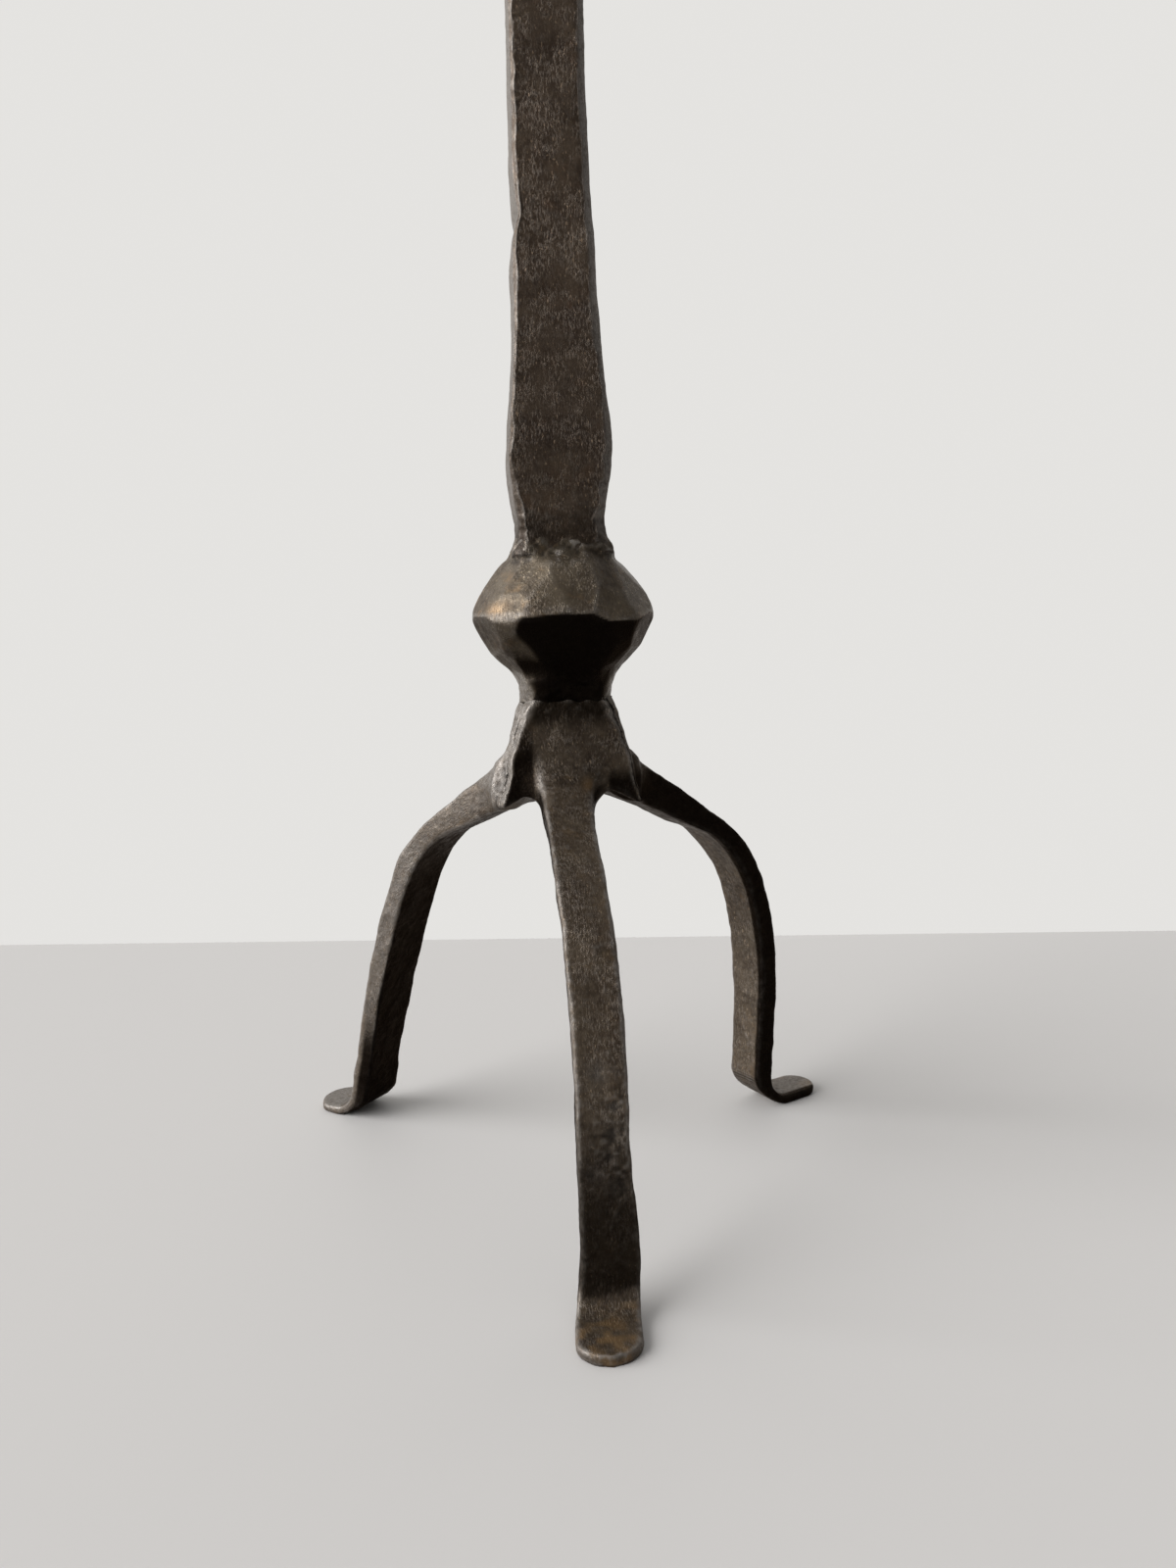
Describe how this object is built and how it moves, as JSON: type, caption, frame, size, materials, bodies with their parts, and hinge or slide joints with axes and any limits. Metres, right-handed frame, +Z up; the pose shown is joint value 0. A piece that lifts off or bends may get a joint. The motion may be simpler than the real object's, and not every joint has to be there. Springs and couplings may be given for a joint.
{
  "type": "candle holder",
  "caption": "Hand-forged iron candle holder: tapered square stem with a knop, three splayed legs with turned-out feet, a drip pan and a candle socket.",
  "frame": {"origin": "on the surface that the feet rest on, at the middle of the box round the whole holder", "axes": "+Z up along the stem, towards the candle; -Y along the front leg; +X to the right seen from the front leg"},
  "size_m": [0.1503, 0.142, 0.4198],
  "materials": {
    "stem_iron": "satin, hammered, with bright worn corners",
    "knop_iron": "satin, hammered in facets, brown patches",
    "leg_iron": "satin, hammered, worn at the feet",
    "pan_iron": "satin, hammered sheet"
  },
  "bodies": {
    "root": {"stem": "stem_iron", "knop": "knop_iron", "leg_front": "leg_iron", "leg_left": "leg_iron", "leg_right": "leg_iron", "pan_collar": "knop_iron", "drip_pan": "pan_iron", "candle_socket": "pan_iron"}
  },
  "joints": []
}
